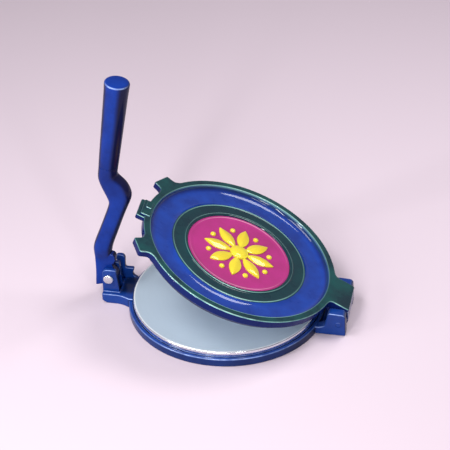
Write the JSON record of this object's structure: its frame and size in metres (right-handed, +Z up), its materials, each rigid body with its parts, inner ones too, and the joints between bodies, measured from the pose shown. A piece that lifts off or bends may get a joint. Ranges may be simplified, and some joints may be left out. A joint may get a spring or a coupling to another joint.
{
  "type": "manual roti press",
  "caption": "Hand-operated roti press: round hinged lid and base with polished plates, lever bracket and a long cranked press lever.",
  "frame": {"origin": "centre of the round base on the table, at the flat centre boss below the web", "axes": "+Z up, +X from the lever's bracket towards the lid's hinge, +Y to the side, along both pins"},
  "size_m": [0.2758, 0.2142, 0.2696],
  "materials": {
    "blue_enamel": "glossy dark blue enamel on a casting",
    "lid_enamel": "glossy enamel on a casting: green on the flat tops, blue in the channel and on the sides",
    "pink_enamel": "glossy pink enamel",
    "yellow_enamel": "glossy yellow enamel",
    "grip_plastic": "glossy dark blue moulded grip",
    "polished_plate": "fine turned finish with a bright bevelled edge",
    "steel": "bright steel",
    "zinc": "zinc plated"
  },
  "bodies": {
    "base": {"base_casting": "blue_enamel", "base_press_plate": "polished_plate", "base_plate_screws": "zinc", "base_plate_washers": "steel", "hinge_pin": "steel", "hinge_set_screws": "zinc", "hinge_shims": "steel", "lever_pin": "steel", "lever_pin_washer": "zinc", "lever_split_pin": "zinc", "lever_shims": "steel"},
    "lid": {"lid_casting": "lid_enamel", "lid_press_plate": "polished_plate", "lid_plate_screws": "zinc", "lid_plate_washers": "steel", "lid_medallion": "pink_enamel", "medallion_screw": "zinc", "medallion_rosette": "yellow_enamel"},
    "lever": {"lever_arm": "blue_enamel", "lever_bush": "steel", "lever_grip": "grip_plastic"}
  },
  "joints": [
    {"name": "lid_hinge", "type": "hinge", "parent": "base", "child": "lid", "pos_m": [0.1233, 0, 0.0139], "axis": [0, 1, 0], "range_deg": [-21.59, 80]},
    {"name": "lever_pivot", "type": "hinge", "parent": "base", "child": "lever", "pos_m": [-0.1263, 0, 0.0275], "axis": [0, 1, 0], "range_deg": [-83, 4.5]}
  ]
}
